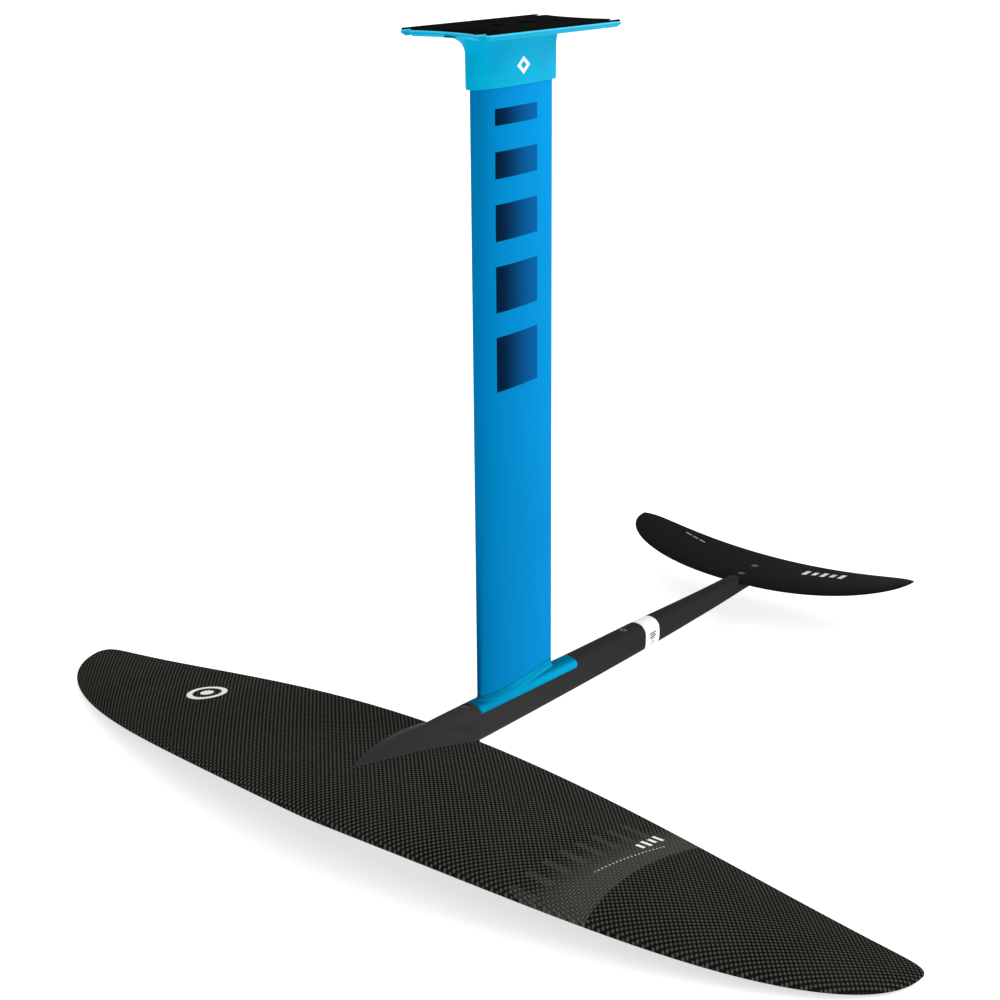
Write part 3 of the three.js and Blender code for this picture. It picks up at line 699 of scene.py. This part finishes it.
def grip_pad():
    """Black rubber with a fine pyramid grain."""
    surface = Surface("grip_pad", roughness=1.0, specular=0.01)
    pitch = 2.4
    peaks = (surface.x.repeat(pitch) + surface.y.repeat(pitch)) * (1 / pitch)
    speck = surface.noise(0.6, detail=3)
    surface.colour(surface.mix(peaks * 0.6 + speck * 0.4, linear(5, 5, 5), linear(16, 16, 16)))
    surface.gloss(speck * 0.2 + 0.8)
    surface.bump(peaks + speck * 0.25, 0.35)
    return surface.material


def charcoal_spar():
    """Satin charcoal paint over moulded carbon, with a faint speckle and painted shade that darkens it
    towards the tail.
    """
    surface = Surface("charcoal_spar", roughness=0.6, specular=0.04)
    speck = surface.noise(0.45, detail=3, roughness=0.7)
    cloud = surface.noise(45, (2, 1, 1), detail=2)
    # painted shade: darker towards the tail, lighter towards the nose
    share = surface.x.between(-260, 160, 0, 0.7) + speck * 0.2 + cloud * 0.1
    surface.colour(surface.mix(share, linear(29, 30, 31), linear(50, 50, 50)))
    surface.gloss(speck * 0.16 + 0.52)
    surface.bump(speck, 0.02)
    return surface.material


def stabiliser_skin():
    """Matt black-brown carbon skin with short pale marks."""
    surface = Surface("stabiliser_skin", roughness=0.6, specular=0.02)
    x, y = surface.x, surface.y
    fibre = surface.noise(0.5, (1, 30, 1), detail=2)
    cloud = surface.noise(40, detail=2)
    base = surface.mix(fibre * 0.5 + cloud * 0.5, linear(16, 14, 13), linear(25, 23, 21))
    marks = []
    leaning = x + (y - STAB_BARS["lean_from"]) * STAB_BARS["lean"]
    for i in range(STAB_BARS["count"]):
        centre = (STAB_BARS["x"], STAB_BARS["y"] + STAB_BARS["pitch"] * i)
        half = (STAB_BARS["half_length"] - 2 * (i % 2), STAB_BARS["half_width"])
        marks.append(surface.box(leaning, y, centre, half, 0.4))
    leaning = x - (y - STAB_DASHES["lean_from"]) * STAB_DASHES["lean"]
    for i in range(STAB_DASHES["count"]):
        centre = (STAB_DASHES["x"], STAB_DASHES["y"] - STAB_DASHES["pitch"] * i)
        half = (STAB_DASHES["half_width"], STAB_DASHES["half_length"])
        marks.append(surface.box(leaning, y, centre, half, 0.3) * 0.6)
    surface.colour(surface.mix(any_of(marks), base, linear(215, 215, 212)))
    surface.gloss(cloud * 0.14 + 0.42)
    surface.bump(fibre, 0.015)
    return surface.material


def white_sleeve():
    """White sleeve with a small block of plain bars on each side."""
    surface = Surface("white_sleeve", roughness=0.38)
    x, z = surface.x, surface.z
    grain = surface.noise(1.2, detail=3)
    base = surface.mix(grain, linear(232, 233, 232), linear(246, 247, 246))
    marks = []
    for i, half_length in enumerate(SLEEVE_BARS["half_lengths"]):
        centre = (JOINT_X, SLEEVE_BARS["z"] - SLEEVE_BARS["pitch"] * i)
        marks.append(surface.box(x, z, centre, (half_length, SLEEVE_BARS["half_width"]), 0.15))
    centre = (JOINT_X, SLEEVE_RING["z"])
    marks.append(surface.ring(x, z, centre, SLEEVE_RING["radius"], SLEEVE_RING["half_line"], 0.15))
    surface.colour(surface.mix(any_of(marks), base, linear(24, 25, 27)))
    surface.bump(grain, 0.01)
    return surface.material


def metal(name, dark, light, roughness):
    """Turned metal: fine streaks in its colour and gloss."""
    surface = Surface(name, roughness=roughness, metallic=1.0)
    streak = surface.noise(0.25, (1, 1, 0.3), detail=3)
    surface.colour(surface.mix(streak, linear(*dark), linear(*light)))
    surface.gloss(streak * 0.2 + (roughness - 0.1))
    surface.bump(streak, 0.008)
    return surface.material


CARBON = carbon_weave()
# The first colour of each anodised material is its painted shade at the nose, the second its lit aft side.
BLUE_MAST = anodised("anodised_mast", (0, 112, 166), (0, 145, 207), with_bars)
BLUE_FOOT = anodised("anodised_foot", (0, 108, 144), (0, 128, 164), with_painted_fillet_highlight)
CYAN = head_moulding()
BLACK = grip_pad()
CHARCOAL = charcoal_spar()
STAB_SKIN = stabiliser_skin()
WHITE = white_sleeve()
STEEL = metal("stainless", (96, 98, 101), (140, 142, 145), 0.4)
BRASS = metal("brass_insert", (160, 122, 58), (205, 164, 92), 0.36)


# ---- Fasteners ----
HEAD_RATIO = 1.9  # a countersunk head's radius over its shank's
HEAD_RIM = 0.5
SOCKET_RATIO = 0.72
THREAD_PITCH = 0.8
INSERT_WALL = 1.6
SCREWS_DOWN = (
    "head_screw_1", "head_screw_2", "foot_lock_screw", "joint_screw", "stab_screw_1", "stab_screw_2",
)
SCREWS_UP = (
    "foot_screw_1", "foot_screw_2", "mast_bolt_1", "mast_bolt_2",
    "wing_screw_1", "wing_screw_2", "wing_screw_3",
)
INSERTS = (
    "wing_insert_1", "wing_insert_2", "wing_insert_3", "joint_insert", "stab_insert_1", "stab_insert_2",
)


def turned_rings(profile):
    """Rings round the Z axis from radius and height pairs."""
    return [at_height(circle(0, 0, max(radius, 0.02)), z) for radius, z in profile]


def move(piece, x, y, z, upside_down=False):
    """Puts a piece that was made at the origin in its place."""
    flip = -1 if upside_down else 1
    for vertex in piece.data.vertices:
        old = vertex.co
        vertex.co = (old.x + x * MM, flip * old.y + y * MM, flip * old.z + z * MM)
    return piece


def screw_blank(radius, length):
    """A countersunk head at z = 0, with its threaded shank downwards."""
    head = radius * HEAD_RATIO
    edge = 0.25
    neck = -HEAD_RIM - (head - radius)
    profile = [(0, 0), (head - edge, 0), (head, -edge), (head, -HEAD_RIM), (radius, neck)]
    z = neck - THREAD_PITCH
    while z > -length + 2 * THREAD_PITCH:
        profile += [(radius, z), (radius - 0.4, z - THREAD_PITCH / 2)]
        z -= THREAD_PITCH
    profile += [(radius, -length + 1), (radius - 0.8, -length), (0, -length)]
    return skin("screw", turned_rings(profile))


def screw_hole(x, radius, head_z, length, points_up):
    """The hole that a countersunk screw at y = 0 sits in, open past its head."""
    head = radius * HEAD_RATIO + GAP
    shank = radius + GAP
    rim = HEAD_RIM + GAP
    profile = [(head, PAST), (head, -rim), (shank, -rim - (head - shank)), (shank, -length - 1)]
    return move(skin("hole", turned_rings(profile)), x, 0, head_z, points_up)


def hole_of(node, points_up):
    """The hole for a CAD screw node."""
    low, high, middle = node_box(node)
    radius = (high.x - low.x) / 2 / HEAD_RATIO
    return screw_hole(middle.x, radius, low.z if points_up else high.z, high.z - low.z, points_up)


def insert_room(node, below, above):
    """The round room for a CAD insert node, which runs on past its ends by below and above."""
    low, high, middle = node_box(node)
    outline = circle(middle.x, 0, (high.x - low.x) / 2 + GAP)
    return prism("insert_room", outline, low.z - below, high.z + above)


def screw(node, points_up):
    """A socket screw in the place of a CAD screw node."""
    low, high, centre = node_box(node)
    radius = (high.x - low.x) / 2 / HEAD_RATIO
    body = screw_blank(radius, high.z - low.z)
    socket = radius * SOCKET_RATIO
    hexagon = circle(0, 0, socket, 6)
    cut(body, skin("socket", [
        at_height(hexagon * 1.08, 1), at_height(hexagon * 1.08, -0.12), at_height(hexagon, -0.3),
        at_height(hexagon, -radius), at_height(hexagon * 0.2, -radius - 0.5),
    ]))
    move(body, centre.x, centre.y, low.z if points_up else high.z, points_up)
    body.name = node + "_turned"
    return finish_piece(body, "stainless", STEEL, node)


def insert(node):
    """A knurled threaded insert in the place of a CAD insert node."""
    low, high, centre = node_box(node)
    outer = (high.x - low.x) / 2
    bore = outer - INSERT_WALL + GAP
    teeth = 24
    knurl = np.tile([1.0, 0.965], teeth)[:, None]
    plain = circle(0, 0, outer, 2 * teeth)
    inner = circle(0, 0, bore, 2 * teeth)
    waist, rim, flank, mouth = plain * 0.93, plain * 0.96, plain * knurl, inner * 1.06
    height = high.z - low.z
    groove_low, groove_high = height * 0.41, height * 0.59
    rings = [
        (waist, 0), (rim, 0.3), (flank, 0.5), (flank, groove_low), (waist, groove_low + 0.1),
        (waist, groove_high - 0.1), (flank, groove_high), (flank, height - 0.5), (rim, height - 0.3),
        (waist, height), (mouth, height), (inner, height - 0.4), (inner, 0.4), (mouth, 0),
    ]
    body = skin(node + "_knurled", [at_height(ring, z) for ring, z in rings], loop=True)
    move(body, centre.x, centre.y, low.z)
    return finish_piece(body, "brass_insert", BRASS, node)


# ---- Top plate and head ----
def plate_outline(inset=0.0, slot_margin=0.0):
    """The plate's outline with its four open slots. The short edges curve in between raised corner ears."""
    half_length = PLATE["length"] / 2 - inset
    half_width = PLATE["width"] / 2 - inset
    corner = max(PLATE["corner"] - inset, 0.4)
    radius = SLOT["radius"] + slot_margin
    y = np.linspace(0, PLATE["ear"] + min(inset, 2), 16)
    edge = np.column_stack([half_length - PLATE["recess"] * (1 - (y / y[-1]) ** 3), y])
    turn = np.linspace(-math.pi / 2, -1.5 * math.pi, 17)
    slot_end = np.column_stack([SLOT["inner"] + radius * np.cos(turn), SLOT["y"] + radius * np.sin(turn)])
    tip = np.array([(half_length, SLOT["y"] - radius)])
    start = math.asin(min(1.0, max(0.0, (SLOT["y"] + radius - half_width + corner) / corner)))
    bend = np.linspace(start, math.pi / 2, 9)
    arc = np.column_stack([
        half_length - corner + corner * np.cos(bend), half_width - corner + corner * np.sin(bend),
    ])
    quarter = np.concatenate([edge, tip, slot_end, arc])
    back = quarter[::-1]
    outline = np.concatenate([quarter, back * (-1, 1), quarter[1:] * (-1, -1), back[:-1] * (1, -1)])
    return outline + (PLATE["centre"], 0)


def mast_head():
    """The moulded head: a slotted plate that flares into a collar round the mast."""
    outline = plate_outline()
    plate = skin("mast_head_moulded", [
        at_height(plate_outline(PLATE["chamfer"]), PLATE["bottom"]), at_height(outline, PLATE["rim"]),
        at_height(outline, PLATE["top"]),
    ])
    soften(plate, 0.5, 2, angle=35)
    wall, edge = COLLAR["wall"], COLLAR["edge"]
    rings = []
    for turn in np.linspace(0, math.pi / 2, 5):
        drawn_in = edge * (1 - math.sin(turn))
        z = COLLAR["bottom"] + edge * (1 - math.cos(turn))
        rings.append(at_height(mast_outline(wall - drawn_in), z))
    flare_start = wall + COLLAR["draft"]
    rings.append(at_height(mast_outline(wall, flare_start, flare_start), COLLAR["flare_bottom"]))
    for turn in np.linspace(0, math.pi / 2, 15)[1:]:
        out = 1 - math.cos(turn)
        z = COLLAR["flare_bottom"] + (COLLAR["flare_top"] - COLLAR["flare_bottom"]) * math.sin(turn)
        outline = mast_outline(
            wall + COLLAR["side"] * out,
            flare_start + COLLAR["front"] * out,
            flare_start + COLLAR["rear"] * out,
        )
        rings.append(at_height(outline, z))
    join(plate, skin("collar", rings))
    socket = mast_outline(GAP)
    cut(plate, prism("socket", socket, COLLAR["bottom"] - PAST, MAST["top"] + GAP))
    for x in PORTS["xs"]:
        cut(plate, screw_hole(x, points_up=False, **HEAD_SCREW))
    return finish_piece(plate, "head_moulding", CYAN, "mast_head")


def plate_pad():
    """The grip pad, with a hole over each head screw."""
    pad = prism("plate_pad_grip", plate_outline(PAD["rim"], 0.6), -PAD["thickness"], 0)
    for x in PORTS["xs"]:
        cut(pad, prism("hole", circle(x, 0, PAD["hole"]), -PAD["thickness"] - 1, 1))
    soften(pad, 0.25, 2)
    return finish_piece(pad, "grip_pad", BLACK, "plate_pad")


# ---- Mast ----
def cell_outline(start, end, shrink=0.0):
    """One hollow cell of the mast, inside a wall of even thickness."""
    inset = shrink / MAST["chord"]
    x = np.linspace(start + inset, end - inset, 14)
    height = MAST["thickness"] * half_thickness(x) - MAST["skin"] - shrink
    upper = np.column_stack([MAST["chord"] * (0.5 - x), height])
    return np.concatenate([upper, (upper * (1, -1))[::-1]])


def mast():
    """The extruded mast, with its hollow cells and its two screw ports."""
    body = prism("mast_extrusion", mast_outline(), MAST["bottom"], MAST["top"])
    low, high = MAST["bottom"] - PAST, MAST["top"] + PAST
    for cell in CELLS:
        cut(body, prism("cell", cell_outline(*cell), low, high))
    for x in PORTS["xs"]:
        cut(body, prism("port", circle(x, 0, PORTS["radius"], 32), low, high))
    return finish_piece(body, "anodised_mast", BLUE_MAST, "mast")


def seat_block(grow=0.0):
    """The room that the mast foot's saddle takes out of the spar."""
    front, rear = SEAT["front"] + grow, SEAT["rear"] - grow
    top = SPAR_TOP + SEAT["height"]
    low = SPAR_TOP - SEAT["rear_drop"] - grow
    corner = SEAT["corner"] + grow
    sides = [(front, SPAR_TOP - SEAT["front_drop"] - grow), (front, top), (rear, top)]
    for turn in np.linspace(0, math.pi / 2, 9):
        sides.append((rear + corner * (1 - math.cos(turn)), low + corner * (1 - math.sin(turn))))
    return skin("seat", [np.array([(x, y, z) for x, z in sides], float) for y in (-REACH, REACH)])


def tenon_block(grow=0.0):
    low = (TENON["rear"] - grow, -TENON["half_width"] - grow, SPAR_TOP - TENON["depth"] - grow)
    return block("tenon", low, (TENON["front"] + grow, TENON["half_width"] + grow, SPAR_TOP - ROOT_DEPTH))


def fillet_rings():
    """The fillet that rises from the saddle's arched top to the foot of the mast."""
    top = MAST["bottom"] - GAP
    side, rear, wall = FILLET["side"], FILLET["rear"], FILLET["wall"]
    rings = [at_height(mast_outline(side - 0.5, side - 0.5, rear / 2), SPAR_TOP - FILLET["depth"])]
    for turn in np.linspace(0, math.pi / 2, 12):
        spread = 1 - math.sin(turn)
        outline = mast_outline(wall + side * spread, None, wall + rear * spread)
        ground = spar_surface(outline[:, 0], outline[:, 1]) - 0.1
        rise = (top - ground) * (1 - math.cos(turn))
        rings.append(np.column_stack([outline, ground + rise]))
    return rings


def mast_foot():
    """The saddle on the spar, its fillet, its tenon and the prongs in the mast's cells."""
    body = combine(skin("mast_foot_saddle", spar_rings(SPAR_SECTIONS)), seat_block(), "INTERSECT")
    soften(body, 0.35, 2, angle=60)
    join(body, skin("fillet", fillet_rings()), tenon_block())
    for cell in CELLS:
        join(body, prism("prong", cell_outline(*cell, GAP), SPAR_TOP - 6, MAST["bottom"] + PRONG_LENGTH))
    for x in PORTS["xs"]:
        cut(body, screw_hole(x, points_up=True, **FOOT_SCREW))
    for node in ("mast_bolt_1", "mast_bolt_2"):
        _, high, middle = node_box(node)
        outline = circle(middle.x, 0, MAST_BOLT_RADIUS + GAP)
        cut(body, prism("bolt_hole", outline, SPAR_TOP - TENON["depth"] - PAST, high.z + 1))
    return finish_piece(body, "anodised_foot", BLUE_FOOT, "mast_foot")


# ---- Fuselage and tail ----
def neck(front, rear):
    """The turned-down length under the joint's sleeve."""
    section = SLEEVE_SECTIONS[1][1:]
    return skin("neck", [spar_ring(x, *section, grow=-NECK) for x in (rear, front)])


def wing_cutter():
    """The room that the front wing takes out of the fuselage."""
    half_width = 1.5 * REACH
    places = np.linspace(-half_width, half_width, 13) / WING["semi_span"]
    return skin("wing_room", wing_rings(WING, front_wing_station, places, 48, GAP))


def fairing_rings():
    """A low hump that runs out over the wing's upper surface on both sides of the spar."""
    share = np.linspace(-1, 1, 49)
    hump = (1 - share**2) ** FAIRING["exponent"]
    rings = []
    for x, half_width, ridge in smooth_table(FAIRING_SECTIONS, 3):
        foot = float(wing_top(x, half_width)) - GAP
        height = foot + (SPAR_TOP + ridge - foot) * hump
        upper = np.column_stack([np.full(len(share), x), half_width * share, height])
        base = [(x, half_width, FAIRING["base"]), (x, -half_width, FAIRING["base"])]
        rings.append(np.concatenate([upper, base]))
    return rings


def fuselage():
    """The spar and its fairing over the wing's root, with room for all that is let into them."""
    body = skin("fuselage_spar", spar_rings(SPAR_SECTIONS, chamfer=0.5))
    join(body, neck(SLEEVE["front"] + 2, JOINT_X), skin("fairing", fairing_rings()))
    cut(
        body,
        wing_cutter(),
        block(
            "under_wing",
            (BELLY["rear"] - GAP, -REACH, cad_low.z / MM),
            (WING["nose_x"], REACH, BELLY["level"]),
        ),
        seat_block(GAP),
        tenon_block(GAP),
        block(
            "spigot_room",
            (JOINT_X - PAST, -SPIGOT["half_width"] - GAP, SPIGOT["bottom"] - GAP),
            (SPIGOT["front"] + GAP, SPIGOT["half_width"] + GAP, SPIGOT["top"] + GAP),
        ),
    )
    screws = {"joint_screw": False, "foot_lock_screw": False, "mast_bolt_1": True, "mast_bolt_2": True}
    for node, points_up in screws.items():
        cut(body, hole_of(node, points_up))
    for number in (1, 2, 3):
        cut(body, insert_room(f"wing_insert_{number}", INSERT_RELIEF, GAP))
    return finish_piece(body, "charcoal_spar", CHARCOAL, "fuselage")


def tail_boom():
    """The tapering boom, with its spigot, its seat for the stabiliser and the rooms for its inserts."""
    body = skin("tail_boom_spar", spar_rings(BOOM_SECTIONS, chamfer=0.5))
    seat_low = (STAB["tail_x"] - REACH, -REACH, STAB_SEAT["top"])
    cut(
        body,
        skin("stab_room", wing_rings(STAB, stabiliser_station, np.linspace(-0.15, 0.15, 7), 32, GAP)),
        block("seat_room", seat_low, (STAB_SEAT["front"], REACH, SPAR_TOP)),
    )
    join(
        body,
        neck(JOINT_X - GAP, SLEEVE["rear"] - 2),
        block(
            "spigot",
            (JOINT_X - SPIGOT["root"], -SPIGOT["half_width"], SPIGOT["bottom"]),
            (SPIGOT["front"], SPIGOT["half_width"], SPIGOT["top"]),
        ),
    )
    for node in ("joint_insert", "stab_insert_1", "stab_insert_2"):
        cut(body, insert_room(node, GAP, INSERT_WAY_IN))
    return finish_piece(body, "charcoal_spar", CHARCOAL, "tail_boom")


def joint_sleeve():
    """The white sleeve, flush round the joint, with softened ends."""
    front, rear = SLEEVE_SECTIONS
    edge, wall = 0.25, SLEEVE["wall"]
    outside = [
        spar_ring(front[0], *front[1:], grow=-edge), spar_ring(front[0] - edge, *front[1:]),
        spar_ring(rear[0] + edge, *rear[1:]), spar_ring(rear[0], *rear[1:], grow=-edge),
    ]
    inside = [spar_ring(x, *rear[1:], grow=-wall) for x in (rear[0], front[0])]
    body = skin("joint_sleeve_band", outside + inside, loop=True)
    return finish_piece(body, "white_sleeve", WHITE, "joint_sleeve")


# ---- Lifting surfaces ----
def belly_rings():
    """The fairing under the front wing."""
    angle = np.linspace(0, math.pi, 49)
    rings = []
    for x, half_width, bottom in smooth_table(BELLY_SECTIONS, 4):
        across, down = superellipse(angle, BOTTOM_EXPONENT)
        depth = BELLY["level"] - (SPAR_TOP + bottom)
        height = BELLY["level"] - depth * down
        rings.append(np.column_stack([np.full(len(angle), x), half_width * across, height]))
    return rings


def front_wing():
    """The front wing with the fairing on its belly and the holes for its screws."""
    body = skin("front_wing_skin", wing_rings(WING, front_wing_station, wing_places(90), 44))
    join(body, skin("belly", belly_rings()))
    for number in (1, 2, 3):
        cut(body, hole_of(f"wing_screw_{number}", True))
    return finish_piece(body, "carbon_weave", CARBON, "front_wing")


def stabiliser():
    """The small rear wing, with its countersunk screw holes."""
    body = skin("stabiliser_foil", wing_rings(STAB, stabiliser_station, wing_places(56), 32))
    for number in (1, 2):
        cut(body, hole_of(f"stab_screw_{number}", False))
    return finish_piece(body, "stabiliser_skin", STAB_SKIN, "stabiliser")


mast_head()
plate_pad()
mast()
mast_foot()
fuselage()
tail_boom()
joint_sleeve()
front_wing()
stabiliser()
for name in SCREWS_DOWN:
    screw(name, False)
for name in SCREWS_UP:
    screw(name, True)
for name in INSERTS:
    insert(name)


# ---- Studio ----
FLOOR = dict(half=20000, gap=2, thickness=20, glow=0.65)
AIM = Vector((0, 0, -0.45))  # where the lamps point
WORLD_LIGHT = 0.4
# Name, direction, strength and spread in degrees of each sun.
SUNS = (
    ("top_sun", (0.3, 1.0, 3), 1.25, 80),
    ("side_sun", (-2.6, 1.5, 0.4), 1.9, 50),
    ("front_sun", (2.6, 1.2, 0.6), 0.25, 60),
)
def add_floor():
    """A plain pale floor under the wing tips."""
    half = FLOOR["half"]
    top = cad_low.z / MM - FLOOR["gap"]
    floor = block("floor", (-half, -half, top - FLOOR["thickness"]), (half, half, top))
    surface = Surface("floor_paint", roughness=0.9, specular=0.0)
    cloud = surface.noise(400, detail=2)
    surface.colour(surface.mix(cloud, linear(218, 218, 218), linear(222, 222, 222)))
    surface.shader.inputs["Emission Color"].default_value = (1, 1, 1, 1)
    surface.shader.inputs["Emission Strength"].default_value = FLOOR["glow"]
    floor.data.materials.append(surface.material)


def add_sun(name, place, power, spread):
    """A soft sun that shines from place to AIM."""
    data = bpy.data.lights.new(name, "SUN")
    data.energy = power
    data.angle = math.radians(spread)
    lamp = bpy.data.objects.new(name, data)
    lamp.location = place
    lamp.rotation_euler = (AIM - Vector(place)).to_track_quat("-Z", "Y").to_euler()
    bpy.context.scene.collection.objects.link(lamp)


def add_world():
    """Even white light from all round, and a white backdrop behind the floor's edge."""
    world = bpy.data.worlds.new("studio")
    world.use_nodes = True
    nodes, links = world.node_tree.nodes, world.node_tree.links
    background = nodes["Background"]
    background.inputs["Color"].default_value = (1, 1, 1, 1)
    strength = nodes.new("ShaderNodeMapRange")
    strength.inputs["To Min"].default_value = WORLD_LIGHT
    strength.inputs["To Max"].default_value = 1.0
    links.new(nodes.new("ShaderNodeLightPath").outputs["Is Camera Ray"], strength.inputs["Value"])
    links.new(strength.outputs["Result"], background.inputs["Strength"])
    bpy.context.scene.world = world


add_floor()
add_world()
for sun in SUNS:
    add_sun(*sun)
bpy.context.scene.view_settings.view_transform = "Standard"
